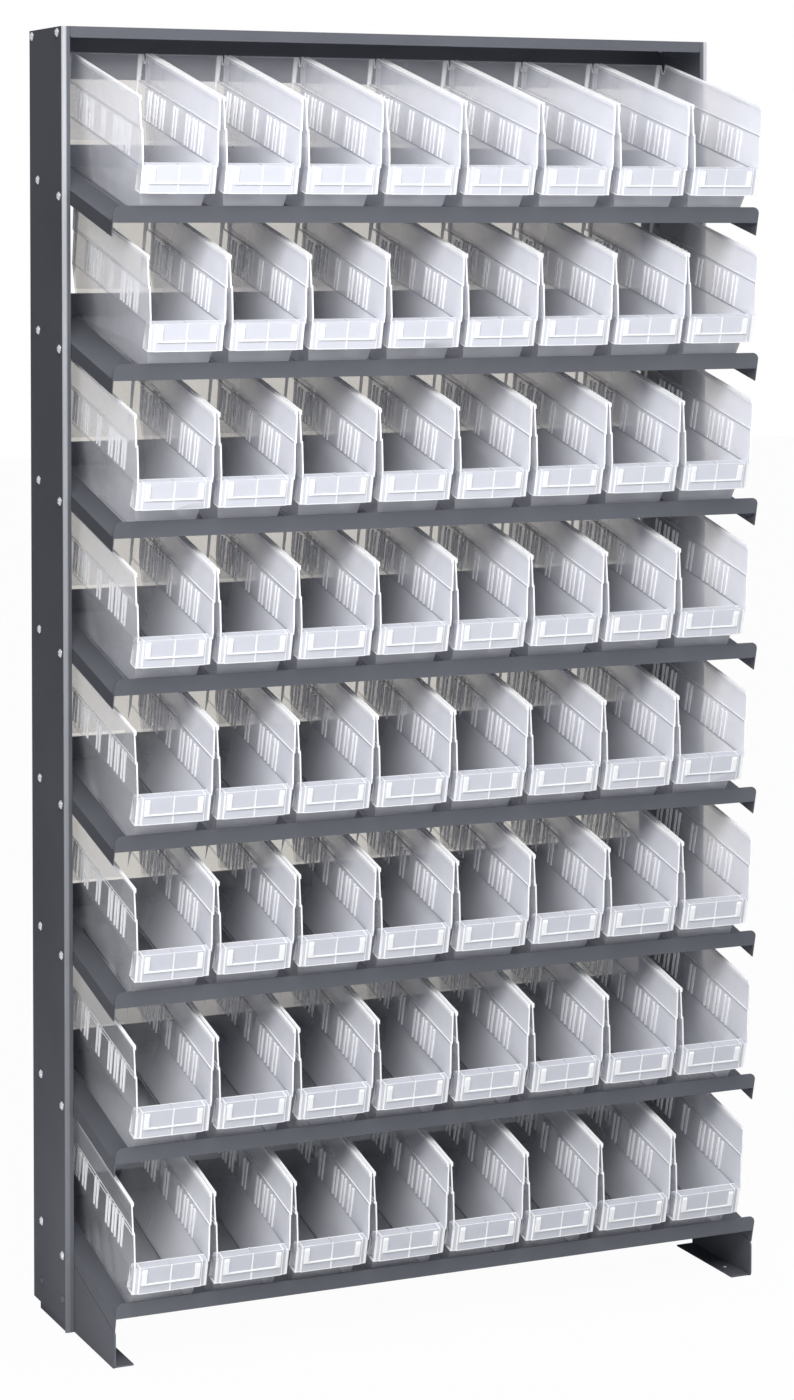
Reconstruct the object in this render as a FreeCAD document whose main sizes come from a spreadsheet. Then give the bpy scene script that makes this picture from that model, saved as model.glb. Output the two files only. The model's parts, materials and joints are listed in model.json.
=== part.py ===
import FreeCAD, Part
import os
import Sketcher

# Bin pick rack: eight sloped shelves between two uprights, eight clear bins on each shelf.
# Millimetres. +X is the right-hand side seen from the front, +Y the back, +Z up.
# The origin is on the floor, under the middle of the whole part.

SHELVES = 8
BINS_PER_SHELF = 8

# Driving sizes: name, value, meaning
SIZES = [
    ("bin_width", 104.8, "bin over its top rim"),
    ("bin_height", 154, "bin from its underside to its rim"),
    ("bin_floor_width", 72.4, "bin over its underside"),
    ("bin_floor_length", 272, "bin underside, front to back"),
    ("bin_wall", 2, "bin wall and floor"),
    ("rim_width", 3.5, "thickened rim along the bin's side walls"),
    ("rim_height", 5, "height of that rim"),
    ("crease_width", 97.2, "bin width at the crease where the sides steepen"),
    ("crease_height", 71.3, "that crease above the bin's underside"),
    ("step_height", 115.2, "step in the side walls above the underside"),
    ("step_width", 99.2, "bin width under the step"),
    ("step_out", 1.3, "how far each side steps out there"),
    ("back_height", 150, "top of the bin's back wall"),
    ("back_rake", 4.5, "how far the back wall leans back at its top"),
    ("knee_height", 21, "bend in the bin's front wall"),
    ("knee_reach", 5, "that bend ahead of the underside's front edge"),
    ("ledge_height", 73.5, "flat ledge on top of the front wall"),
    ("front_reach", 12.5, "front wall's top ahead of the underside"),
    ("nose_height", 79.8, "lower end of the rim's front edge"),
    ("nose_reach", 25.5, "that end ahead of the underside"),
    ("mouth_reach", 6.5, "front of the rim ahead of the underside"),
    ("hood_height", 38.5, "lower edge of the label holder above the underside"),
    ("hood_width", 96, "label holder, side to side"),
    ("panel_width", 81, "raised panel on the label holder's front"),
    ("panel_step", 1.2, "how far that panel stands out"),
    ("frame_width", 75, "label frame on the panel, over its two brackets"),
    ("frame_depth", 1.5, "how far the label frame stands out"),
    ("frame_low", 50.5, "its lower edge above the bin's underside"),
    ("frame_high", 71.5, "upper ends of its brackets"),
    ("frame_slope", 3, "slope at those upper ends"),
    ("window_width", 62, "between the two brackets"),
    ("window_low", 52, "upper edge of the frame's bottom bar"),
    ("middle_rib", 0.6, "how far the rib down the panel's middle stands out"),
    ("notch_front", 13, "hanging notch's front edge ahead of the back edge"),
    ("notch_back", 4, "hanging notch's bottom ahead of the back edge"),
    ("notch_floor", 3, "flat bottom of the hanging notch"),
    ("notch_depth", 15, "hanging notch below the rim"),
    ("rib_low", 72.8, "lower end of the divider ribs"),
    ("rib_high", 111.8, "upper end of the divider ribs"),
    ("rib_width", 3.5, "width of one divider rib"),
    ("rib_depth", 1.3, "how far a divider rib stands out of the wall"),
    ("rib_spacing", 10, "between the two ribs of a pair"),
    ("rib_pair_1", 236.5, "first pair of ribs ahead of the back edge"),
    ("rib_pair_2", 212, "second pair"),
    ("rib_pair_3", 188, "third pair"),
    ("rib_pair_4", 142, "fourth pair"),
    ("rib_pair_5", 96, "fifth pair"),
    ("rib_pair_6", 72, "sixth pair"),
    ("rib_pair_7", 47, "seventh pair"),
    ("row_slack", 53.2, "free width on a shelf beside eight bins"),
    ("bin_gap_1", 2.6, "between two bins on the top shelf"),
    ("bin_gap_2", 0.5, "on the second shelf"),
    ("bin_gap_3", 1.9, "on the third"),
    ("bin_gap_4", 1.2, "on the fourth"),
    ("bin_gap_5", 1.2, "on the fifth"),
    ("bin_gap_6", 2.4, "on the sixth"),
    ("bin_gap_7", 2.3, "on the seventh"),
    ("bin_gap_8", 1.5, "on the bottom shelf"),
    ("row_shift_1", 5.3, "middle of the top row right of the rack's middle"),
    ("row_shift_2", 7.2, "of the second row"),
    ("row_shift_3", -4.3, "of the third"),
    ("row_shift_4", -7.1, "of the fourth"),
    ("row_shift_5", -8.5, "of the fifth"),
    ("row_shift_6", -5.1, "of the sixth"),
    ("row_shift_7", -6.4, "of the seventh"),
    ("row_shift_8", -12.5, "of the bottom row"),
    ("shelf_tilt", 14, "slope of the shelves in degrees"),
    ("shelf_sheet", 1.2, "shelf steel"),
    ("lip_height", 21, "front lip from the shelf's underside"),
    ("lip_corner", 9, "rounding of the lip's upper corners"),
    ("side_flange", 17, "shelf's side flanges below its underside"),
    ("shelf_back", 30, "shelf's upturned back edge"),
    ("bin_front_gap", 9.8, "between the lip and a bin's underside"),
    ("bin_back_gap", 9.3, "between a bin and the shelf's back edge"),
    ("shelf_back_gap", 0.3, "between a shelf and the bends of the uprights' back flanges"),
    ("shelf_side_gap", 0.4, "between a shelf's front part and a front flange"),
    ("head_room", 29.6, "above the bins, square to the shelves"),
    ("floor_room", 63, "bottom shelf's lip above the floor"),
    ("top_room", 22.4, "rack's top above the top row's back"),
    ("upright_depth", 131.5, "uprights, front to back"),
    ("upright_sheet", 1.8, "upright steel"),
    ("upright_bend", 2.6, "outer bend radius of an upright"),
    ("front_flange", 11, "uprights' front flange"),
    ("back_flange", 30, "uprights' back flange"),
    ("side_cutoff", 10, "gap under an upright's side face"),
    ("link_hole_radius", 1.9, "small holes for joining two racks"),
    ("link_hole_inset", 24.6, "their front column behind the upright's face"),
    ("link_hole_spacing", 27, "between the two columns"),
    ("link_hole_low", 808, "lower pair above the floor"),
    ("link_hole_rise", 138.5, "upper pair above the lower pair"),
    ("cap_sheet", 1.5, "top cap steel"),
    ("cap_lip", 14, "top cap's front lip"),
    ("cap_side", 16, "top cap's side flanges"),
    ("cap_back", 60, "top cap's back flange"),
    ("cap_corner", 3, "rounding of the cap lip's lower corners"),
    ("cap_screw_drop", 7.5, "cap screws below the rack's top"),
    ("cap_screw_inset", 15, "cap screws from the uprights' faces"),
    ("foot_sheet", 2, "foot steel"),
    ("foot_inset", 3.7, "foot's front edge behind the lip"),
    ("foot_flange", 27, "foot's floor flange"),
    ("foot_corner", 6, "rounding of a foot's front corners"),
    ("foot_gap", 1, "between a foot and the bottom shelf's side flange"),
    ("foot_tail", 108, "foot's back edge behind the uprights' faces"),
    ("foot_hole_radius", 4, "floor bolt hole"),
    ("foot_hole_inset", 47, "floor bolt hole behind the foot's front edge"),
    ("foot_screw_height", 40, "foot screws above the floor"),
    ("screw_radius", 2.5, "shank of a screw"),
    ("screw_hole_radius", 2.7, "hole for that shank"),
    ("screw_front_inset", 10, "front screws behind the uprights' faces"),
    ("screw_back_inset", 37.5, "back screws ahead of the uprights' backs"),
    ("screw_drop", 8, "shelf screws below the shelf's underside"),
    ("screw_length", 11, "screw below its head"),
    ("head_radius", 5.5, "washer face of a screw head"),
    ("head_washer", 1.2, "thickness of that washer"),
    ("head_dome_radius", 4.4, "dome of the head"),
    ("head_height", 3.8, "whole head"),
    ("recess_length", 4.6, "cross recess in the head"),
    ("recess_width", 1.1, "its slots"),
    ("recess_depth", 1.8, "its depth"),
    ("nut_flats", 8, "lock nut across its flats"),
    ("nut_height", 5, "lock nut"),
    ("nut_clearance", 0.05, "between a nut's bore and the shank"),
]

# Sizes that follow from the driving ones: name, formula, meaning
WORKED_OUT = [
    ("shelf_width", "=BINS * bin_width + row_slack", "shelf between the front flanges"),
    ("rack_width", "=shelf_width + 2 * (shelf_side_gap + front_flange)", "over the uprights"),
    ("web_x", "=rack_width / 2 - upright_sheet", "inner face of an upright's side"),
    ("bin_seat", "=shelf_sheet + bin_front_gap + bin_floor_length", "bin's back edge behind the lip"),
    ("shelf_depth", "=bin_seat + bin_back_gap + shelf_sheet", "shelf along its slope"),
    ("shelf_reach", "=shelf_depth * cos(shelf_tilt) + shelf_back_gap + upright_bend - upright_depth",
     "lip ahead of the uprights"),
    ("shelf_pitch", "=(shelf_sheet + bin_height + head_room) / cos(shelf_tilt)", "shelf to shelf"),
    ("rack_height", "=floor_room + LOWER * shelf_pitch + shelf_depth * sin(shelf_tilt)"
     " + (shelf_sheet + bin_height) * cos(shelf_tilt) + top_room", "over the uprights"),
    ("nose_overhang", "=(nose_reach - shelf_sheet - bin_front_gap) * cos(shelf_tilt)"
     " + (shelf_sheet + nose_height) * sin(shelf_tilt)", "bin's nose ahead of the lip"),
    ("mouth_overhang", "=(mouth_reach - shelf_sheet - bin_front_gap) * cos(shelf_tilt)"
     " + (shelf_sheet + bin_height) * sin(shelf_tilt)", "bin's rim ahead of the lip"),
    ("front_y", "=(shelf_reach + max(nose_overhang; mouth_overhang) - upright_depth) / 2",
     "uprights' front face behind the origin"),
    ("notch_line", "=(shelf_reach + upright_bend + shelf_side_gap + shelf_sheet * sin(shelf_tilt))"
     " / cos(shelf_tilt)", "where a shelf widens, behind its lip"),
]

doc = FreeCAD.newDocument("BinPickRack")
sheet = doc.addObject("Spreadsheet::Sheet", "sizes")


# The sheet of sizes
def fill_sheet():
    counts = {"BINS": str(BINS_PER_SHELF), "LOWER": str(SHELVES - 1)}
    for row, (name, number, meaning) in enumerate(SIZES + WORKED_OUT, start=1):
        text = str(number)
        for word, count in counts.items():
            text = text.replace(word, count)
        sheet.set("A%d" % row, name)
        sheet.set("B%d" % row, text)
        sheet.set("C%d" % row, meaning)
        sheet.setAlias("B%d" % row, name)
    doc.recompute()


# An expression with each size's name led back to the sheet
def bound(expression):
    text = expression
    for name in sorted(NAMES, key=len, reverse=True):
        text = text.replace(name, "#%d#" % NAMES.index(name))
    for number, name in enumerate(NAMES):
        text = text.replace("#%d#" % number, "sizes." + name)
    return text


def value(expression):
    return float(sheet.evalExpression(bound(expression)))


NAMES = [row[0] for row in SIZES + WORKED_OUT]
fill_sheet()


# Sketch in a body: closed outlines of (x, y) expressions and circles of (x, y, radius)
def draw(body, name, plane, outlines=(), circles=(), lift=None):
    planes = {feature.Role: feature for feature in body.Origin.OriginFeatures}
    sketch = body.newObject("Sketcher::SketchObject", name)
    sketch.AttachmentSupport = (planes[plane], [""])
    sketch.MapMode = "FlatFace"
    if lift:
        sketch.setExpression("AttachmentOffset.Base.z", bound(lift))
    shapes = []
    rules = []
    formulas = {}

    def rule(kind, *details, formula):
        formulas[len(rules)] = formula
        rules.append(Sketcher.Constraint(kind, *details, value(formula)))

    for outline in outlines:
        first = len(shapes)
        count = len(outline)
        points = [FreeCAD.Vector(value(x), value(y), 0) for x, y in outline]
        for number, (x, y) in enumerate(outline):
            edge = first + number
            following = (number + 1) % count
            shapes.append(Part.LineSegment(points[number], points[following]))
            rules.append(Sketcher.Constraint("Coincident", edge, 2, first + following, 1))
            rule("DistanceX", -1, 1, edge, 1, formula=x)
            rule("DistanceY", -1, 1, edge, 1, formula=y)
    for x, y, radius in circles:
        edge = len(shapes)
        centre = FreeCAD.Vector(value(x), value(y), 0)
        shapes.append(Part.Circle(centre, FreeCAD.Vector(0, 0, 1), value(radius)))
        rule("DistanceX", -1, 1, edge, 3, formula=x)
        rule("DistanceY", -1, 1, edge, 3, formula=y)
        rule("Radius", edge, formula=radius)
    sketch.addGeometry(shapes)
    sketch.addConstraint(rules)
    for number, formula in formulas.items():
        sketch.setExpression("Constraints[%d]" % number, bound(formula))
    return sketch


def new_body(name):
    return doc.addObject("PartDesign::Body", name)


# Raise a sketch: forward, backward or to both sides of its plane
def pad(body, name, sketch, length, way="forward"):
    feature = body.newObject("PartDesign::Pad", name)
    feature.Profile = sketch
    feature.setExpression("Length", bound(length))
    feature.Reversed = way == "backward"
    feature.SideType = "Symmetric" if way == "both" else "One side"
    return finished(body, feature, 1)


# Cut a sketch out: through everything, or to both sides over a length
def pocket(body, name, sketch, length=None, way="both"):
    feature = body.newObject("PartDesign::Pocket", name)
    feature.Profile = sketch
    feature.SideType = "Symmetric" if way == "both" else "One side"
    feature.Reversed = way == "backward"
    if length:
        feature.setExpression("Length", bound(length))
    else:
        feature.Type = "ThroughAll"
    return finished(body, feature, -1)


# Round the edges that a test picks out
def round_edges(body, name, radius, picked):
    base = body.Tip
    names = ["Edge%d" % (i + 1) for i, edge in enumerate(base.Shape.Edges) if picked(edge)]
    feature = body.newObject("PartDesign::Fillet", name)
    feature.Base = (base, names)
    feature.setExpression("Radius", bound(radius))
    doc.recompute()
    if not names or "Invalid" in feature.State:
        raise RuntimeError("%s rounds nothing" % name)
    return feature


# A pad has to add to the body and a pocket has to take away from it
def finished(body, feature, change):
    before = [other for other in body.Group if other is not feature and hasattr(other, "Profile")]
    old = before[-1].Shape.Volume if before else 0
    doc.recompute()
    if (feature.Shape.Volume - old) * change <= 0:
        raise RuntimeError("%s changes nothing" % feature.Name)
    body.Tip = feature
    return feature


def runs_along(edge, axis):
    if edge.Curve.TypeId != "Part::GeomLine":
        return False
    line = edge.Vertexes[1].Point - edge.Vertexes[0].Point
    return abs(line.normalize().dot(axis)) > 0.999


def rectangle(left, low, right, high):
    return [(left, low), (right, low), (right, high), (left, high)]


# Places on a sloped shelf, as expressions: along its slope, and up square to it
def shelf_y(along, up):
    return "front_y - shelf_reach + (%s) * cos(shelf_tilt) - (%s) * sin(shelf_tilt)" % (along, up)


def shelf_z(shelf, along, up):
    lip = "floor_room + %d * shelf_pitch" % (SHELVES - shelf)
    return "%s + (%s) * sin(shelf_tilt) + (%s) * cos(shelf_tilt)" % (lip, along, up)


# Where an upright's own inset from its front face meets a shelf at a given drop
def along_shelf(inset, up):
    return "((%s) + shelf_reach + (%s) * sin(shelf_tilt)) / cos(shelf_tilt)" % (inset, up)


SCREW_INSETS = ["screw_front_inset", "upright_depth - screw_back_inset"]
CAP_SCREW_INSETS = ["cap_screw_inset", "upright_depth - cap_screw_inset"]


# Holes in an upright's side, as (inset from its front face, height, radius)
def upright_holes():
    holes = []
    for shelf in range(1, SHELVES + 1):
        for inset in SCREW_INSETS:
            height = shelf_z(shelf, along_shelf(inset, "-screw_drop"), "-screw_drop")
            holes.append((inset, height, "screw_hole_radius"))
    for inset in CAP_SCREW_INSETS:
        holes.append((inset, "rack_height - cap_screw_drop", "screw_hole_radius"))
    for inset in SCREW_INSETS:
        holes.append((inset, "foot_screw_height", "screw_hole_radius"))
    for inset in ["link_hole_inset", "link_hole_inset + link_hole_spacing"]:
        for height in ["link_hole_low", "link_hole_low + link_hole_rise"]:
            holes.append((inset, height, "link_hole_radius"))
    return holes


# Upright: a channel with a narrow front flange and a wider back flange
def make_upright(name, side):
    body = new_body(name)
    outer = "%d * rack_width / 2" % side
    inner = "%d * web_x" % side
    front = "%d * (rack_width / 2 - front_flange)" % side
    back = "%d * (rack_width / 2 - back_flange)" % side
    channel = [
        (outer, "0"),
        (outer, "upright_depth"),
        (back, "upright_depth"),
        (back, "upright_depth - upright_sheet"),
        (inner, "upright_depth - upright_sheet"),
        (inner, "upright_sheet"),
        (front, "upright_sheet"),
        (front, "0"),
    ]
    pad(body, name + "_channel", draw(body, name + "_profile", "XY_Plane", [channel]), "rack_height")
    outside = value("rack_width / 2")
    inside = value("web_x")
    upward = FreeCAD.Vector(0, 0, 1)

    def on_bend(edge, across):
        return runs_along(edge, upward) and abs(abs(edge.CenterOfMass.x) - across) < 0.01

    round_edges(body, name + "_bends", "upright_bend", lambda edge: on_bend(edge, outside))
    round_edges(body, name + "_inner_bends", "upright_bend - upright_sheet",
                lambda edge: on_bend(edge, inside))
    under_side = rectangle("%d * (rack_width / 2 - back_flange - 1)" % side, "upright_bend",
                           "%d * (rack_width / 2 + 1)" % side, "upright_depth + 1")
    pocket(body, name + "_cutoff", draw(body, name + "_under_side", "XY_Plane", [under_side]),
           "side_cutoff", "backward")
    holes = draw(body, name + "_hole_places", "YZ_Plane", circles=upright_holes())
    pocket(body, name + "_holes", holes)
    body.setExpression("Placement.Base.y", bound("front_y"))
    return body


# Shelf: a tray with an upturned lip and back edge and side flanges turned down.
# Its own origin is the middle of the lip's lower front edge, before it is tilted.
def make_shelf():
    body = new_body("shelf")
    narrow = "shelf_width / 2"
    plate = [
        ("-" + narrow, "0"),
        (narrow, "0"),
        (narrow, "notch_line"),
        ("web_x", "notch_line"),
        ("web_x", "shelf_depth"),
        ("-web_x", "shelf_depth"),
        ("-web_x", "notch_line"),
        ("-" + narrow, "notch_line"),
    ]
    pad(body, "shelf_plate", draw(body, "shelf_outline", "XY_Plane", [plate]), "shelf_sheet")
    lip = rectangle("-" + narrow, "0", narrow, "lip_height")
    pad(body, "shelf_lip", draw(body, "lip_outline", "XZ_Plane", [lip]), "shelf_sheet", "backward")
    depthwise = FreeCAD.Vector(0, 1, 0)
    top = value("lip_height")
    round_edges(body, "lip_corners", "lip_corner",
                lambda edge: runs_along(edge, depthwise) and abs(edge.CenterOfMass.z - top) < 0.01)
    back = rectangle("-web_x", "shelf_depth - shelf_sheet", "web_x", "shelf_depth")
    pad(body, "shelf_back_edge", draw(body, "back_edge_outline", "XY_Plane", [back]), "shelf_back")
    # The side flanges end early, so that their lower back corners clear the uprights
    flange_end = "shelf_depth - side_flange * tan(shelf_tilt)"
    flanges = []
    for side in (-1, 1):
        flanges.append(rectangle("%d * shelf_width / 2" % side, "0",
                                 "%d * (shelf_width / 2 - shelf_sheet)" % side, "notch_line"))
        flanges.append(rectangle("%d * web_x" % side, "notch_line",
                                 "%d * (web_x - shelf_sheet)" % side, flange_end))
    pad(body, "side_flanges", draw(body, "side_flange_outlines", "XY_Plane", flanges),
        "side_flange", "backward")
    holes = [(along_shelf(inset, "-screw_drop"), "-screw_drop", "screw_hole_radius")
             for inset in SCREW_INSETS]
    pocket(body, "shelf_holes", draw(body, "shelf_hole_places", "YZ_Plane", circles=holes))
    return body


# Top cap: a tray open downwards, its lip between the uprights' front flanges
def make_cap():
    body = new_body("top_cap")
    narrow = "shelf_width / 2"
    widens = "upright_bend + shelf_side_gap"
    ends = "upright_depth - upright_bend"
    plate = [
        ("-" + narrow, "0"),
        (narrow, "0"),
        (narrow, widens),
        ("web_x", widens),
        ("web_x", ends),
        ("-web_x", ends),
        ("-web_x", widens),
        ("-" + narrow, widens),
    ]
    pad(body, "cap_plate", draw(body, "cap_outline", "XY_Plane", [plate]), "cap_sheet", "backward")
    lip = rectangle("-" + narrow, "-cap_lip", narrow, "0")
    pad(body, "cap_front_lip", draw(body, "cap_lip_outline", "XZ_Plane", [lip]), "cap_sheet",
        "backward")
    depthwise = FreeCAD.Vector(0, 1, 0)
    low = value("-cap_lip")
    round_edges(body, "cap_lip_corners", "cap_corner",
                lambda edge: runs_along(edge, depthwise) and abs(edge.CenterOfMass.z - low) < 0.01)
    sides = [rectangle("%d * web_x" % side, widens, "%d * (web_x - cap_sheet)" % side, ends)
             for side in (-1, 1)]
    pad(body, "cap_sides", draw(body, "cap_side_outlines", "XY_Plane", sides), "cap_side", "backward")
    back = rectangle("-web_x", ends + " - cap_sheet", "web_x", ends)
    pad(body, "cap_back_edge", draw(body, "cap_back_outline", "XY_Plane", [back]), "cap_back",
        "backward")
    holes = [(inset, "-cap_screw_drop", "screw_hole_radius") for inset in CAP_SCREW_INSETS]
    pocket(body, "cap_holes", draw(body, "cap_hole_places", "YZ_Plane", circles=holes))
    body.setExpression("Placement.Base.y", bound("front_y"))
    body.setExpression("Placement.Base.z", bound("rack_height"))
    return body


# Foot: a plate under the bottom shelf's side flange, with a floor flange, joined by a
# crosswise web to the plate that is screwed to the upright
def make_foot(name, side):
    body = new_body(name)
    outer = "%d * shelf_width / 2" % side
    inner = "%d * (shelf_width / 2 - foot_sheet)" % side
    flange = "%d * (shelf_width / 2 - foot_flange)" % side
    wall = "%d * web_x" % side
    wall_inner = "%d * (web_x - foot_sheet)" % side
    start = "foot_inset - shelf_reach"
    web = "upright_bend + shelf_side_gap"
    plan = [
        (outer, start),
        (outer, web),
        (wall, web),
        (wall, "foot_tail"),
        (wall_inner, "foot_tail"),
        (wall_inner, web + " + foot_sheet"),
        (inner, web + " + foot_sheet"),
        (inner, start),
    ]
    pad(body, name + "_plates", draw(body, name + "_plan", "XY_Plane", [plan]),
        "floor_room + shelf_reach")

    # The top edge runs under the shelf's side flange
    def edge_height(inset):
        return ("floor_room + (%s + shelf_reach) * tan(shelf_tilt)"
                " - (side_flange + foot_gap) / cos(shelf_tilt)") % inset

    above = [
        ("-shelf_reach", edge_height("-shelf_reach")),
        ("foot_tail + 1", edge_height("foot_tail + 1")),
        ("foot_tail + 1", "floor_room + shelf_reach + 1"),
        ("-shelf_reach", "floor_room + shelf_reach + 1"),
    ]
    pocket(body, name + "_slope", draw(body, name + "_above", "YZ_Plane", [above]))
    across = FreeCAD.Vector(1, 0, 0)
    front = value(start)
    round_edges(body, name + "_corners", "foot_corner",
                lambda edge: runs_along(edge, across) and abs(edge.CenterOfMass.y - front) < 0.01)
    sole = rectangle(outer, start + " + foot_corner", flange, web)
    hole = ("%d * (shelf_width / 2 - foot_flange / 2)" % side, start + " + foot_hole_inset",
            "foot_hole_radius")
    pad(body, name + "_sole", draw(body, name + "_sole_outline", "XY_Plane", [sole]), "foot_sheet")
    pocket(body, name + "_floor_hole", draw(body, name + "_floor_hole_place", "XY_Plane",
                                            circles=[hole]))
    holes = [(inset, "foot_screw_height", "screw_hole_radius") for inset in SCREW_INSETS]
    pocket(body, name + "_holes", draw(body, name + "_hole_places", "YZ_Plane", circles=holes))
    body.setExpression("Placement.Base.y", bound("front_y"))
    return body


# Bin: its own origin is the middle of its underside's back edge
def make_bin():
    body = new_body("bin")
    toe = "-bin_floor_length"
    knee = "-(bin_floor_length + knee_reach)"
    brow = "-(bin_floor_length + front_reach)"
    nose = "-(bin_floor_length + nose_reach)"
    mouth = "-(bin_floor_length + mouth_reach)"
    under_ledge = "ledge_height - bin_wall"
    outer_side = [
        ("bin_floor_width / 2", "0"),
        ("crease_width / 2", "crease_height"),
        ("step_width / 2", "step_height"),
        ("step_width / 2 + step_out", "step_height"),
        ("bin_width / 2", "bin_height"),
    ]
    inner_side = [
        ("bin_width / 2 - rim_width", "bin_height"),
        ("bin_width / 2 - rim_width", "bin_height - rim_height"),
        ("bin_width / 2 - bin_wall", "bin_height - rim_height"),
        ("step_width / 2 + step_out - bin_wall", "step_height + bin_wall"),
        ("step_width / 2 - bin_wall", "step_height + bin_wall"),
        ("crease_width / 2 - bin_wall", "crease_height"),
        ("bin_floor_width / 2 - bin_wall"
         " + (crease_width - bin_floor_width) / 2 * bin_wall / crease_height", "bin_wall"),
    ]

    def mirrored(points):
        return [("-(%s)" % x, y) for x, y in reversed(points)]

    channel = outer_side + inner_side + mirrored(outer_side + inner_side)
    profile = draw(body, "bin_profile", "XZ_Plane", [channel], lift="-back_rake - 1")
    pad(body, "bin_channel", profile, "bin_floor_length + nose_reach + back_rake + 2")

    # Ahead of the front wall and of the mouth
    front = [
        (toe, "-1"),
        (toe, "0"),
        (knee, "knee_height"),
        (brow, under_ledge),
        (nose, under_ledge),
        (nose, "nose_height"),
        (mouth, "bin_height"),
        (mouth, "bin_height + 1"),
        (nose + " - 3", "bin_height + 1"),
        (nose + " - 3", "-1"),
    ]
    # Behind the back wall, with the hanging notches
    back = [
        ("0", "-1"),
        ("back_rake + 3", "-1"),
        ("back_rake + 3", "bin_height + 1"),
        ("-notch_front", "bin_height + 1"),
        ("-notch_front", "bin_height"),
        ("-notch_back - notch_floor", "bin_height - notch_depth"),
        ("-notch_back", "bin_height - notch_depth"),
        ("back_rake - bin_wall", "back_height"),
        ("back_rake", "back_height"),
        ("0", "0"),
    ]
    pocket(body, "bin_ends", draw(body, "bin_side_view", "YZ_Plane", [front, back]))
    front_wall = [
        (toe, "0"),
        (knee, "knee_height"),
        (brow, under_ledge),
        (brow, "ledge_height"),
        (brow + " + bin_wall", "ledge_height"),
        (brow + " + bin_wall", under_ledge),
        (knee + " + bin_wall", "knee_height"),
        (toe + " + bin_wall", "0"),
    ]
    back_wall = [
        ("0", "0"),
        ("back_rake", "back_height"),
        ("back_rake - bin_wall", "back_height"),
        ("-bin_wall", "0"),
    ]
    pad(body, "bin_end_walls", draw(body, "end_wall_outlines", "YZ_Plane", [front_wall, back_wall]),
        "bin_width", "both")
    beside = outer_side + [("bin_width", "bin_height"), ("bin_width", "-1"),
                           ("bin_floor_width / 2", "-1")]
    pocket(body, "bin_sides", draw(body, "beside_bin", "XZ_Plane", [beside, mirrored(beside)]))

    # Label holder: a hood in front of the front wall, open below, with a middle rib
    face = nose + " + panel_step"
    hood = [
        (knee, "hood_height"),
        (brow + " + bin_wall / 2", "ledge_height"),
        (face, "ledge_height"),
        (face, "hood_height"),
    ]
    pad(body, "label_hood", draw(body, "hood_outline", "YZ_Plane", [hood]), "hood_width", "both")
    wall_low = (knee + " - (front_reach - knee_reach) * (hood_height - 1 - knee_height)"
                " / (ledge_height - bin_wall - knee_height)")
    hollow = [
        (wall_low, "hood_height - 1"),
        (brow, under_ledge),
        (face + " + bin_wall", under_ledge),
        (face + " + bin_wall", "hood_height - 1"),
    ]
    pocket(body, "hood_hollow", draw(body, "hood_hollow_outline", "YZ_Plane", [hollow]),
           "hood_width - 2 * bin_wall")
    rib = [
        (knee, "hood_height"),
        (brow + " + bin_wall / 2", "ledge_height - bin_wall / 2"),
        (face + " + bin_wall / 2", "ledge_height - bin_wall / 2"),
        (face + " + bin_wall / 2", "hood_height"),
    ]
    pad(body, "hood_rib", draw(body, "hood_rib_outline", "YZ_Plane", [rib]), "bin_wall", "both")

    # Raised panel with the label frame: a bottom bar between two brackets
    within = face + " + bin_wall / 2"
    panel = rectangle(within, "hood_height", nose, "ledge_height")
    pad(body, "label_panel", draw(body, "panel_outline", "YZ_Plane", [panel]), "panel_width", "both")
    bracket = [
        (within, "frame_low"),
        (nose + " - frame_depth", "frame_low"),
        (nose + " - frame_depth", "frame_high - frame_slope"),
        (nose, "frame_high"),
        (within, "frame_high"),
    ]
    pad(body, "label_frame", draw(body, "frame_outline", "YZ_Plane", [bracket]), "frame_width",
        "both")
    window = rectangle(nose + " - frame_depth - 1", "window_low", nose, "frame_high + 1")
    pocket(body, "label_window", draw(body, "window_outline", "YZ_Plane", [window]), "window_width")
    middle = [
        (within, "hood_height"),
        (nose + " - middle_rib", "hood_height"),
        (nose + " - middle_rib", "ledge_height + middle_rib"),
        (brow + " + bin_wall", "ledge_height + middle_rib"),
        (brow + " + bin_wall", "ledge_height - bin_wall / 2"),
        (within, "ledge_height - bin_wall / 2"),
    ]
    pad(body, "middle_rib", draw(body, "middle_rib_outline", "YZ_Plane", [middle]), "bin_wall",
        "both")

    # Divider ribs inside both side walls
    ribs = []
    for pair in range(1, 8):
        for half in (1, -1):
            centre = "-rib_pair_%d - %d * rib_spacing / 2" % (pair, half)
            ribs.append(rectangle(centre + " - rib_width / 2", "rib_low",
                                  centre + " + rib_width / 2", "rib_high"))
    pad(body, "divider_ribs", draw(body, "rib_outlines", "YZ_Plane", ribs),
        "crease_width - bin_wall", "both")
    middle = rectangle("-rib_pair_1 - rib_spacing", "rib_low - 1",
                       "-rib_pair_7 + rib_spacing", "rib_high + 1")
    pocket(body, "between_ribs", draw(body, "between_ribs_outline", "YZ_Plane", [middle]),
           "crease_width - 2 * bin_wall - 2 * rib_depth")
    return body


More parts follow.
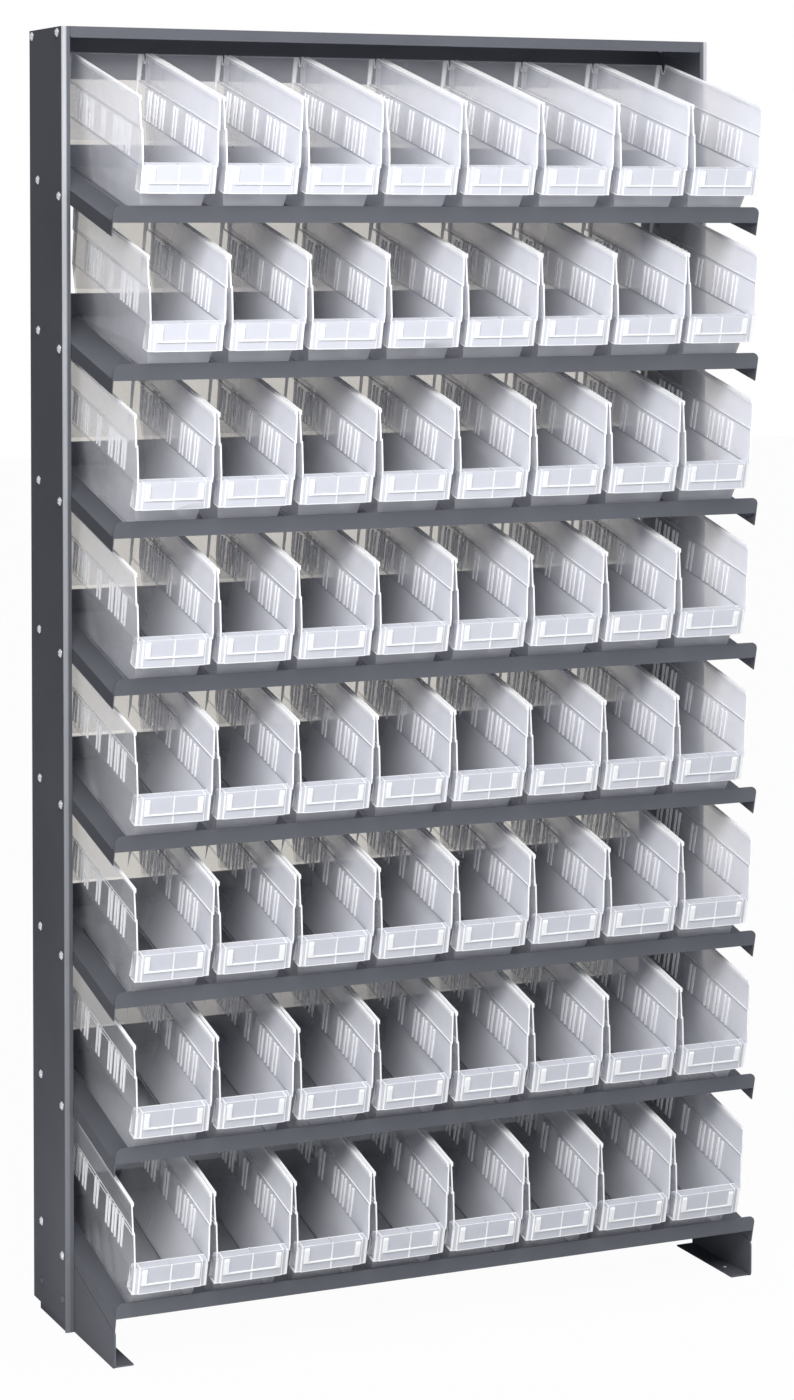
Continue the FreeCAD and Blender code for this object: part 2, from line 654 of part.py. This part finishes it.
# Screw: its own origin is under the middle of its head, which points to +X
def make_screw():
    body = new_body("screw")
    half = [
        ("-screw_length", "0"),
        ("-screw_length", "screw_radius"),
        ("0", "screw_radius"),
        ("0", "head_radius"),
        ("head_washer", "head_radius"),
        ("head_washer", "head_dome_radius"),
        ("head_washer + (head_height - head_washer) * 0.7", "head_dome_radius * 0.75"),
        ("head_height", "head_dome_radius * 0.35"),
        ("head_height", "0"),
    ]
    sketch = draw(body, "screw_half", "XY_Plane", [half])
    turned = body.newObject("PartDesign::Revolution", "screw_turned")
    turned.Profile = sketch
    turned.ReferenceAxis = (sketch, ["H_Axis"])
    turned.Angle = 360
    finished(body, turned, 1)
    arm = "recess_length / 2"
    slot = "recess_width / 2"
    cross = [
        (arm, "-" + slot), (arm, slot), (slot, slot), (slot, arm), ("-" + slot, arm),
        ("-" + slot, slot), ("-" + arm, slot), ("-" + arm, "-" + slot), ("-" + slot, "-" + slot),
        ("-" + slot, "-" + arm), (slot, "-" + arm), (slot, "-" + slot),
    ]
    recess = draw(body, "recess_outline", "YZ_Plane", [cross], lift="head_height")
    pocket(body, "screw_recess", recess, "recess_depth", "forward")
    return body


# Lock nut: its own origin is the middle of its seat, and it stands towards -X
def make_nut():
    body = new_body("nut")
    corner = "nut_flats / sqrt(3)"
    hexagon = [("%s * cos(%d)" % (corner, 60 * turn), "%s * sin(%d)" % (corner, 60 * turn))
               for turn in range(6)]
    outline = draw(body, "nut_outline", "YZ_Plane", [hexagon],
                   [("0", "0", "screw_radius + nut_clearance")])
    pad(body, "nut_blank", outline, "nut_height", "backward")
    return body


# A copy of a body at a place, turned by an angle about an axis
def placed(body, name, x, y, z, axis=(0, 0, 1), angle="0"):
    copy = doc.addObject("Part::Compound", name)
    copy.Links = [body]
    copy.Placement.Rotation = FreeCAD.Rotation(FreeCAD.Vector(*axis), 1)
    copy.setExpression("Placement.Rotation.Angle", bound(angle))
    copy.setExpression("Placement.Base.x", bound(x))
    copy.setExpression("Placement.Base.y", bound(y))
    copy.setExpression("Placement.Base.z", bound(z))
    return copy


def group(name, members):
    together = doc.addObject("Part::Compound", name)
    together.Links = members
    return together


# Screws or nuts at both ends: seats is a list of (y, z)
def on_both_sides(body, name, seats, across):
    copies = []
    for number, (y, z) in enumerate(seats, start=1):
        copies.append(placed(body, "%s_left_%d" % (name, number), "-(%s)" % across, y, z,
                             angle="180"))
        copies.append(placed(body, "%s_right_%d" % (name, number), across, y, z))
    return copies


def build():
    pieces = {}
    pieces["left_upright"] = make_upright("left_upright", -1)
    pieces["right_upright"] = make_upright("right_upright", 1)
    pieces["top_cap"] = make_cap()
    pieces["left_foot"] = make_foot("left_foot", -1)
    pieces["right_foot"] = make_foot("right_foot", 1)

    shelf = make_shelf()
    tub = make_bin()
    for number in range(1, SHELVES + 1):
        place = (shelf_y("0", "0"), shelf_z(number, "0", "0"))
        pieces["shelf_%d" % number] = placed(shelf, "shelf_%d" % number, "0", *place,
                                             (1, 0, 0), "shelf_tilt")
        seat = (shelf_y("bin_seat", "shelf_sheet"), shelf_z(number, "bin_seat", "shelf_sheet"))
        still = []
        for column in range(1, BINS_PER_SHELF + 1):
            offset = column - (BINS_PER_SHELF + 1) / 2
            x = "row_shift_%d + %r * (bin_width + bin_gap_%d)" % (number, offset, number)
            name = "bin_%d_%d" % (number, column)
            copy = placed(tub, name, x, *seat, (1, 0, 0), "shelf_tilt")
            if (column + number) % 2:
                still.append(copy)
            else:
                pieces[name] = copy
        pieces["bins_%d" % number] = group("bins_%d" % number, still)

    shelf_seats = []
    for number in range(1, SHELVES + 1):
        for inset in SCREW_INSETS:
            height = shelf_z(number, along_shelf(inset, "-screw_drop"), "-screw_drop")
            shelf_seats.append(("front_y + " + inset, height))
    cap_seats = [("front_y + " + inset, "rack_height - cap_screw_drop")
                 for inset in CAP_SCREW_INSETS]
    foot_seats = [("front_y + " + inset, "foot_screw_height") for inset in SCREW_INSETS]
    screw = make_screw()
    nut = make_nut()
    nuts = []
    for name, seats, steel in (("shelf", shelf_seats, "shelf_sheet"),
                               ("cap", cap_seats, "cap_sheet"),
                               ("foot", foot_seats, "foot_sheet")):
        screws = on_both_sides(screw, name + "_screw", seats, "rack_width / 2")
        pieces[name + "_screws"] = group(name + "_screws", screws)
        nuts += on_both_sides(nut, name + "_nut", seats, "web_x - " + steel)
    pieces["lock_nuts"] = group("lock_nuts", nuts)
    doc.recompute()
    return pieces


# Every object has to be sound before any piece is written
def check_and_export(pieces):
    for thing in doc.Objects:
        if "Invalid" in thing.State or "Error" in thing.State:
            raise RuntimeError("%s is in error" % thing.Name)
    for name, piece in pieces.items():
        piece.Label = name
        if piece.Shape.isNull() or not piece.Shape.isValid():
            raise RuntimeError("%s has no sound shape" % name)
    os.makedirs("parts", exist_ok=True)
    for name, piece in pieces.items():
        piece.Shape.exportStep("parts/%s.step" % name)


check_and_export(build())
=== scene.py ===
import json
import math

import bpy
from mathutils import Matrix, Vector


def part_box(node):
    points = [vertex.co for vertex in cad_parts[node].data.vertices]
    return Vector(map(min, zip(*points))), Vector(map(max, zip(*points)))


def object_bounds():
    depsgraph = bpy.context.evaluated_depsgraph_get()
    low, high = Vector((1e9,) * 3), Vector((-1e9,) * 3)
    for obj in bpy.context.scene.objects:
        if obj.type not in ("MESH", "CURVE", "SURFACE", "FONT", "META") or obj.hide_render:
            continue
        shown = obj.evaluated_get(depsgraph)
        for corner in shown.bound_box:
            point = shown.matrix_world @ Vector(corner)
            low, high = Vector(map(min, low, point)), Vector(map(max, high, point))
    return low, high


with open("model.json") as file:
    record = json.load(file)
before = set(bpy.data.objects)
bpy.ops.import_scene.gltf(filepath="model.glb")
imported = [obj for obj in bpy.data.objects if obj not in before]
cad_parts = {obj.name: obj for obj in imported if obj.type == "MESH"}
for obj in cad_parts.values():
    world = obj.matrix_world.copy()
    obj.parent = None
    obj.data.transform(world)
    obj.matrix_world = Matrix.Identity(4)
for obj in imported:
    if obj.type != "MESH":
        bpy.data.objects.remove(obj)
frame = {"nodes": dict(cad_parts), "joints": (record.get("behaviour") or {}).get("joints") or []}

cad_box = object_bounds()

MM = 0.001
SHELVES = 8
BINS_PER_SHELF = 8
TILT = math.radians(14)
ALONG = Vector((0, math.cos(TILT), math.sin(TILT)))
SQUARE = Vector((0, -math.sin(TILT), math.cos(TILT)))

# Heights on a bin above its underside, and places behind its back lower edge or from its middle
RIM_HEIGHT = 154 * MM
RIM_BAND = 5 * MM
RIM_EDGE = 1.4 * MM
STEP_HEIGHT = 115.2 * MM
CREASE_HEIGHT = 71.3 * MM
CREASE_HALF = 0.6 * MM
FLOOR_TOP = 6 * MM
FOOT_HEIGHT = 1.2 * MM
HOOD_HEIGHT = 38.5 * MM
HOOD_TOP = CREASE_HEIGHT + 4 * MM
ABOVE_HOOD = CREASE_HEIGHT + 20 * MM
HOOD_LINE = 1 * MM
RIB_LOW = 72.8 * MM
RIB_HIGH = 111.8 * MM
RIB_FACE = 45.3 * MM
WHITE_RIBS = -180 * MM
LEDGE_BACK = -282.5 * MM
LEDGE_LINE = 2 * MM
PANEL_FACE = -297.5 * MM
PANEL_EDGE = 40.5 * MM
FRAME_FACE = 0.3 * MM
FRONT_LINE = 1.2 * MM
SIDE_EDGE = (45 * MM, 60 * MM)
SOFT = 0.5 * MM
SOFTER_LINE = 0.3 * MM
CLOUDING = (-80 * MM, -260 * MM)

# How much the milky cast covers, as shares of full cover
MILK = (0.07, 0.15)
WALL_MILK = 0.14
# Painted light: the walls' extra cover towards the front, where the light falls in at the open
# fronts
FRONT_PAINTED_LIGHT = 0.64
LEFT_WALL_SHADE = -0.48
RIM_MILK = 0.15
CREASE_MILK = 0.25
RIB_MILK = 0.10
WHITE_RIB_MILK = 0.40
LOW_FRONT_MILK = -0.40
HOOD_MILK = 0.15
EDGE_MILK = 0.85
# Painted shade: the lower rows are made clearer so that they show darker
BOTTOM_ROW_SHADE = -0.30
BOTTOM_LEFT_SHADE = -0.35
LIT_THROUGH = 0.25

# The uprights' outer faces from the rack's middle, and their front faces
RACK_SIDE = max(abs(corner[0]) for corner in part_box("left_upright"))
UPRIGHT_FRONT = min(corner[1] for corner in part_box("left_upright"))

# Broken edges
FRAME_EDGE = 0.5 * MM
SHELF_EDGE = 0.45 * MM
SCREW_EDGE = 0.25 * MM
BIN_EDGE = 0.35 * MM
SAME_POINT = 0.01 * MM
SHARP_ANGLE = math.radians(30)

# Colours
COAT_DARK = "#72747B"
COAT_PALE = "#797B82"
COAT_HIGHLIGHT = "#DEE0E4"
ZINC = "#C9CCD1"
PLASTIC = "#F1F2F8"
# A painted highlight for the uprights' front bends
PLASTIC_HOOD = "#DEE0E7"
CREASE_SHADE = "#A9ADB7"
WHITE = "#FFFFFF"
ROOM_AIR = "#F1F4FA"
THROUGH_PLASTIC = "#E9E4DC"
FLOOR = "#F2F2F2"
FLOOR_SHADE = "#4A4D52"

# The floor near the rack is in its shade, and is pale further off, in metres
SHADE = (0.9, 2.6)
FLOOR_SIZE = 30
SHOWN_WHITE = 0.97

# The camera, solved from the photograph, whose height is in pixels
EYE = (-1.77053, -3.93577, 1.39682)
YAW, PITCH, ROLL = 0.41964, 0.03815, 0.00040
PICTURE_HEIGHT = 1400
FOCAL_PIXELS = 3343.36
FILM = 36.0
CAMERA_SHIFT = -0.25


def linear(code):
    """A colour written as #RRGGBB, as Blender's linear values."""
    parts = [int(code[place:place + 2], 16) / 255 for place in (1, 3, 5)]
    straight = [part / 12.92 if part <= 0.04045 else ((part + 0.055) / 1.055) ** 2.4
                for part in parts]
    return (*straight, 1.0)


def add(tree, kind, settings=None, inputs=None):
    """Adds a node, sets it up, and fills or links its inputs."""
    node = tree.nodes.new("ShaderNode" + kind)
    for name, setting in (settings or {}).items():
        setattr(node, name, setting)
    for place, source in (inputs or {}).items():
        if isinstance(source, bpy.types.NodeSocket):
            tree.links.new(source, node.inputs[place])
        else:
            node.inputs[place].default_value = source
    return node


def new_material(name):
    finish = bpy.data.materials.new(name)
    finish.use_nodes = True
    finish.node_tree.nodes.clear()
    return finish, finish.node_tree


def surface(tree, shader):
    add(tree, "OutputMaterial", {}, {"Surface": shader.outputs[0]})


def calculate(tree, operation, *numbers, clamp=False):
    settings = {"operation": operation, "use_clamp": clamp}
    return add(tree, "Math", settings, dict(enumerate(numbers))).outputs[0]


def spread(tree, number, source, target=(0.0, 1.0)):
    """A number carried over from one range to another, and held at its ends."""
    return add(tree, "MapRange", {}, {
        "Value": number, "From Min": source[0], "From Max": source[1],
        "To Min": target[0], "To Max": target[1]}).outputs[0]


def between(tree, number, low, high, soft):
    """1 where a number lies between low and high, fading over soft."""
    rise = spread(tree, number, (low - soft, low))
    fall = spread(tree, number, (high, high + soft), (1.0, 0.0))
    return calculate(tree, "MULTIPLY", rise, fall)


def blend(tree, share, first, second):
    """The first colour where share is 0, and the second where it is 1."""
    inputs = {"Factor": share, 6: first, 7: second}
    return add(tree, "Mix", {"data_type": "RGBA"}, inputs).outputs[2]


def noise(tree, place, size, detail):
    inputs = {"Vector": place, "Scale": 1 / size, "Detail": detail}
    return add(tree, "TexNoise", {}, inputs).outputs["Fac"]


def powder_coated_steel():
    """Polyester powder coat on sheet steel: satin grey, with a fine orange peel."""
    finish, tree = new_material("powder_coated_steel")
    place = add(tree, "TexCoord").outputs["Object"]
    # The peel's ripples are about 1.5 mm, drawn at 4 mm so that they show
    peel = noise(tree, place, 4 * MM, 2.0)
    cloud = noise(tree, place, 180 * MM, 3.0)
    tone = add(tree, "ValToRGB", {}, {"Fac": cloud})
    dark, pale = tone.color_ramp.elements
    dark.position, dark.color = 0.3, linear(COAT_DARK)
    pale.position, pale.color = 0.7, linear(COAT_PALE)
    # Painted highlight along the uprights' front bends: the coat is turned pale there, strongest
    # from 1.5 m up and fading towards the floor
    spot = add(tree, "SeparateXYZ", {}, {0: place})
    out = calculate(tree, "ABSOLUTE", spot.outputs["X"])
    front_bend = calculate(
        tree, "MULTIPLY",
        between(tree, out, RACK_SIDE - 5 * MM, RACK_SIDE + 1 * MM, 2 * MM),
        between(tree, spot.outputs["Y"], UPRIGHT_FRONT - 1 * MM, UPRIGHT_FRONT + 1.5 * MM, SOFT))
    highlight_fade = spread(tree, spot.outputs["Z"], (0.1, 1.5), (0.15, 1.0))
    colour = blend(tree, calculate(tree, "MULTIPLY", front_bend, highlight_fade),
                   tone.outputs["Color"], linear(COAT_HIGHLIGHT))
    bump = add(tree, "Bump", {}, {"Height": peel, "Strength": 0.08, "Distance": 0.3 * MM})
    surface(tree, add(tree, "BsdfPrincipled", {}, {
        "Base Color": colour, "Roughness": 0.45, "IOR": 1.5, "Specular IOR Level": 0.0,
        "Normal": bump.outputs["Normal"]}))
    return finish


def zinc_plate():
    """Bright zinc on the screws and nuts: pale metal with a soft satin."""
    finish, tree = new_material("zinc_plated_steel")
    place = add(tree, "TexCoord").outputs["Object"]
    grain = noise(tree, place, 2 * MM, 3.0)
    rough = spread(tree, grain, (0.0, 1.0), (0.22, 0.38))
    surface(tree, add(tree, "BsdfPrincipled", {}, {
        "Base Color": linear(ZINC), "Metallic": 1.0, "Roughness": rough}))
    return finish


def clear_polypropylene(row, first, pitch, seat):
    """Moulded clear polypropylene: see-through walls with a milky cast that gathers in edges and
    ribs. Light and shade are painted into it: more cover towards the front where the light falls
    in, less of it on the left walls, pure white edges as painted highlights, and grey creases
    and clearer lower rows as painted shade. first is the middle of the row's first bin, seat the
    back lower edge."""
    finish, tree = new_material("clear_polypropylene_row_%d" % row)

    def along(vector, direction):
        return add(tree, "VectorMath", {"operation": "DOT_PRODUCT"},
                   {0: vector, 1: direction}).outputs["Value"]

    def across(vector):
        return add(tree, "SeparateXYZ", {}, {0: vector}).outputs["X"]

    def over(number, limit):
        return calculate(tree, "GREATER_THAN", number, limit)

    def under(number, limit):
        return calculate(tree, "LESS_THAN", number, limit)

    def both(first_mask, second_mask):
        return calculate(tree, "MULTIPLY", first_mask, second_mask)

    def most(*masks):
        found = masks[0]
        for mask in masks[1:]:
            found = calculate(tree, "MAXIMUM", found, mask)
        return found

    def thicker(cover, mask, amount, clamp=False):
        return calculate(tree, "MULTIPLY_ADD", mask, amount, cover, clamp=clamp)

    # Where a spot is in its bin, and which way its surface faces
    place = add(tree, "TexCoord")
    inside = add(tree, "VectorMath", {"operation": "SUBTRACT"},
                 {0: place.outputs["Object"], 1: (first, seat.y, seat.z)}).outputs[0]
    up = along(inside, SQUARE)
    back = along(inside, ALONG)
    wrapped = calculate(tree, "WRAP", across(inside), pitch / 2, -pitch / 2)
    aside = calculate(tree, "ABSOLUTE", wrapped)
    normal = place.outputs["Normal"]
    flat_on_top = over(along(normal, SQUARE), 0.5)
    to_the_front = under(along(normal, ALONG), -0.5)
    side_wall = over(calculate(tree, "ABSOLUTE", across(normal)), 0.5)
    right_wall = over(wrapped, 0.0)
    left_wall = both(side_wall, under(wrapped, 0.0))
    wall = over(up, FLOOR_TOP)

    rim_band = between(tree, up, RIM_HEIGHT - RIM_BAND, RIM_HEIGHT + RIM_BAND, SOFT)
    rim = between(tree, up, RIM_HEIGHT - RIM_EDGE, RIM_HEIGHT + RIM_BAND, SOFT)
    step = between(tree, up, STEP_HEIGHT - 0.4 * MM, STEP_HEIGHT + 0.6 * MM, SOFT)
    crease = between(tree, up, CREASE_HEIGHT - CREASE_HALF, CREASE_HEIGHT + CREASE_HALF, SOFT)
    creases = both(most(step, crease), side_wall)
    foot = between(tree, up, -1 * MM, FOOT_HEIGHT, SOFT)
    side_edge = both(to_the_front, between(tree, aside, *SIDE_EDGE, SOFT))
    top_edge = both(flat_on_top, over(up, ABOVE_HOOD))
    ribs = both(between(tree, up, RIB_LOW - SOFT, RIB_HIGH + SOFT, SOFT),
                between(tree, aside, RIB_FACE - SOFT, RIB_FACE + SOFT, SOFT))
    white_ribs = both(ribs, under(back, WHITE_RIBS))
    low_front = both(to_the_front, under(up, HOOD_HEIGHT - HOOD_LINE))
    hood = both(under(back, LEDGE_BACK - SOFT), under(up, HOOD_TOP))
    ledge = both(hood, flat_on_top)
    hood_lines = both(hood, most(
        under(back, PANEL_FACE - FRAME_FACE),
        between(tree, aside, PANEL_EDGE - 1.0 * MM, PANEL_EDGE + 0.2 * MM, SOFTER_LINE),
        between(tree, up, HOOD_HEIGHT - HOOD_LINE, HOOD_HEIGHT + HOOD_LINE, SOFTER_LINE),
        both(ledge, under(back, PANEL_FACE + FRONT_LINE)),
        both(ledge, over(back, LEDGE_BACK - LEDGE_LINE))))
    bright_edges = most(rim, side_edge, top_edge, hood_lines)

    # How milky the plastic is: least on the floor, and more so towards the front, which is
    # painted light where the light falls in at the bins' open fronts
    nearness = spread(tree, back, CLOUDING)
    cast = noise(tree, place.outputs["Object"], 45 * MM, 2.0)
    # Painted shade: the left walls take less of the front's cover, so they show darker than the
    # right walls
    share = thicker(FRONT_PAINTED_LIGHT, left_wall, LEFT_WALL_SHADE)
    cover = calculate(tree, "MULTIPLY_ADD", both(wall, nearness), share,
                      spread(tree, cast, (0.0, 1.0), MILK))
    cover = thicker(cover, wall, WALL_MILK)
    # Painted shade: the lower the row, the clearer its bins, most of all their left walls and
    # floors, so that they show darker where less light reaches
    lowness = (row - 1) / (SHELVES - 1)
    left_or_floor = most(left_wall, calculate(tree, "SUBTRACT", 1.0, wall))
    cover = both(cover, thicker(1 + BOTTOM_ROW_SHADE * lowness, left_or_floor,
                                BOTTOM_LEFT_SHADE * lowness))
    cover = thicker(cover, rim_band, RIM_MILK)
    cover = thicker(cover, most(creases, foot), CREASE_MILK)
    cover = thicker(cover, both(ribs, right_wall), RIB_MILK)
    cover = thicker(cover, white_ribs, WHITE_RIB_MILK)
    cover = thicker(cover, low_front, LOW_FRONT_MILK, clamp=True)
    cover = thicker(cover, hood, HOOD_MILK)
    cover = thicker(cover, bright_edges, EDGE_MILK, clamp=True)

    colour = blend(tree, hood, linear(PLASTIC), linear(PLASTIC_HOOD))
    # The rims, front edges and the hood's lines are thicker plastic, and on top of that a
    # painted highlight: they are set pure white
    colour = blend(tree, bright_edges, colour, linear(WHITE))
    # Painted shade: the step and crease lines on the side walls are greyed
    colour = blend(tree, creases, colour, linear(CREASE_SHADE))
    skin = add(tree, "BsdfPrincipled", {}, {
        "Base Color": colour, "Roughness": 0.28, "IOR": 1.49, "Alpha": cover})
    # Light from the far side passes through the milky part
    glow = add(tree, "BsdfTranslucent", {}, {"Color": colour})
    clear = add(tree, "BsdfTransparent", {}, {"Color": linear(WHITE)})
    lit_through = add(tree, "MixShader", {}, {0: cover, 1: clear.outputs[0], 2: glow.outputs[0]})
    surface(tree, add(tree, "MixShader", {}, {
        0: LIT_THROUGH, 1: skin.outputs[0], 2: lit_through.outputs[0]}))
    return finish


def dress(name, finish, bevel):
    """Gives a CAD node its finish and breaks its sharp edges."""
    node = frame["nodes"][name]
    for slot in node.material_slots:
        slot.material = finish
    weld = node.modifiers.new("weld", "WELD")
    weld.merge_threshold = SAME_POINT
    rounded = node.modifiers.new("bright_edges", "BEVEL")
    rounded.width = bevel
    rounded.segments = 2
    rounded.limit_method = "ANGLE"
    rounded.angle_limit = SHARP_ANGLE
    rounded.harden_normals = True


def dress_rack():
    steel = powder_coated_steel()
    zinc = zinc_plate()
    for name in ["left_upright", "right_upright", "top_cap", "left_foot", "right_foot"]:
        dress(name, steel, FRAME_EDGE)
    for row in range(1, SHELVES + 1):
        dress("shelf_%d" % row, steel, SHELF_EDGE)
    for name in ["shelf_screws", "cap_screws", "lock_nuts"]:
        dress(name, zinc, SCREW_EDGE)
    # The feet are screwed on before the rack is coated
    dress("foot_screws", steel, SCREW_EDGE)


def dress_bins():
    """One finish for each row, laid out from the row's loose bins."""
    lifts = {joint["name"]: joint for joint in frame["joints"]}
    for row in range(1, SHELVES + 1):
        loose = [column for column in range(1, BINS_PER_SHELF + 1)
                 if "bin_%d_%d" % (row, column) in frame["nodes"]]
        middles = [sum(corner[0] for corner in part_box("bin_%d_%d" % (row, column))) / 2
                   for column in loose]
        pitch = (middles[-1] - middles[0]) / (loose[-1] - loose[0])
        first = middles[0] - (loose[0] - 1) * pitch
        seat = Vector(lifts["bin_%d_%d_lift" % (row, loose[0])]["pos_m"])
        clear = clear_polypropylene(row, first, pitch, seat)
        for name in ["bins_%d" % row] + ["bin_%d_%d" % (row, column) for column in loose]:
            dress(name, clear, BIN_EDGE)


def soft_box(name, size, watts, place, target):
    lamp = bpy.data.lights.new(name, "AREA")
    lamp.shape = "RECTANGLE"
    lamp.size, lamp.size_y = size
    lamp.energy = watts
    holder = bpy.data.objects.new(name, lamp)
    bpy.context.collection.objects.link(holder)
    holder.location = place
    look = Vector(target) - Vector(place)
    holder.rotation_euler = look.to_track_quat("-Z", "Y").to_euler()
    return holder


def seen_directly(tree):
    """1 for what the camera, a gloss or clear plastic shows, and 1 where clear plastic is before
    it."""
    ray = add(tree, "LightPath")
    seen = calculate(tree, "MAXIMUM", ray.outputs["Is Camera Ray"],
                     calculate(tree, "MAXIMUM", ray.outputs["Is Glossy Ray"],
                               ray.outputs["Is Transmission Ray"]))
    behind_plastic = calculate(tree, "GREATER_THAN", ray.outputs["Transparent Depth"], 0.5)
    return seen, behind_plastic


def lamps():
    middle = (0, 0, 0.9)
    soft_box("front_box", size=(2.0, 2.0), watts=72, place=(-0.8, -2.5, 3.1), target=middle)
    # The plastic alone also catches a soft light from the front left
    bin_light = soft_box("bin_light", size=(1.8, 1.8), watts=148, place=(-2.6, -2.5, 2.7),
                         target=middle)
    catching = bpy.data.collections.new("bins")
    for name, node in frame["nodes"].items():
        if name.startswith("bin"):
            catching.objects.link(node)
    bin_light.light_linking.receiver_collection = catching
    soft_box("floor_glow", size=(0.4, 0.2), watts=0.7, place=(-0.75, -0.25, 0.03),
             target=(-0.45, 0, 0.05))


def studio_air():
    world = bpy.data.worlds.new("studio_air")
    bpy.context.scene.world = world
    world.use_nodes = True
    tree = world.node_tree
    tree.nodes.clear()
    seen, behind_plastic = seen_directly(tree)
    backdrop = blend(tree, behind_plastic, linear(WHITE), linear(THROUGH_PLASTIC))
    # The room is dark on the left and bright on the right
    direction = add(tree, "SeparateXYZ", {}, {0: add(tree, "TexCoord").outputs["Generated"]})
    brightness = spread(tree, direction.outputs["X"], (-0.7, 0.8), (0.03, 0.75))
    air = add(tree, "Background", {}, {"Color": linear(ROOM_AIR), "Strength": brightness})
    white = add(tree, "Background", {}, {"Color": backdrop, "Strength": 1.0})
    mixed = add(tree, "MixShader", {}, {0: seen, 1: air.outputs[0], 2: white.outputs[0]})
    add(tree, "OutputWorld", {}, {"Surface": mixed.outputs[0]})


def pale_floor():
    bpy.ops.mesh.primitive_plane_add(size=FLOOR_SIZE, location=(0, 0, cad_box[0][2]))
    floor = bpy.context.active_object
    floor.name = "studio_floor"
    finish, tree = new_material("pale_floor")
    seen, behind_plastic = seen_directly(tree)
    matt = add(tree, "BsdfDiffuse", {}, {"Color": linear(FLOOR)})
    # Near the rack the floor lies in its shade, and further off it is as pale as the backdrop
    place = add(tree, "SeparateXYZ", {}, {0: add(tree, "TexCoord").outputs["Object"]})
    away = spread(tree, calculate(tree, "ABSOLUTE", place.outputs["Y"]), SHADE)
    beyond = blend(tree, away, linear(FLOOR_SHADE), linear(THROUGH_PLASTIC))
    shown = blend(tree, behind_plastic, linear(WHITE), beyond)
    glow = add(tree, "Emission", {}, {"Color": shown, "Strength": 1.0})
    share = calculate(tree, "MULTIPLY", seen, SHOWN_WHITE)
    surface(tree, add(tree, "MixShader", {}, {0: share, 1: matt.outputs[0], 2: glow.outputs[0]}))
    floor.data.materials.append(finish)


def camera():
    eye = bpy.data.cameras.new("camera")
    eye.sensor_width = FILM
    eye.lens = FOCAL_PIXELS / PICTURE_HEIGHT * FILM
    eye.shift_y = CAMERA_SHIFT
    eye.clip_start = 0.1
    eye.clip_end = 60.0
    holder = bpy.data.objects.new("camera", eye)
    bpy.context.collection.objects.link(holder)
    holder.location = EYE
    look = Vector((math.sin(YAW) * math.cos(PITCH), math.cos(YAW) * math.cos(PITCH),
                   -math.sin(PITCH)))
    holder.rotation_euler = look.to_track_quat("-Z", "Y").to_euler()
    holder.rotation_euler.rotate_axis("Z", ROLL)
    bpy.context.scene.camera = holder


dress_rack()
dress_bins()
lamps()
studio_air()
pale_floor()
camera()
bpy.context.scene.view_settings.view_transform = "Standard"
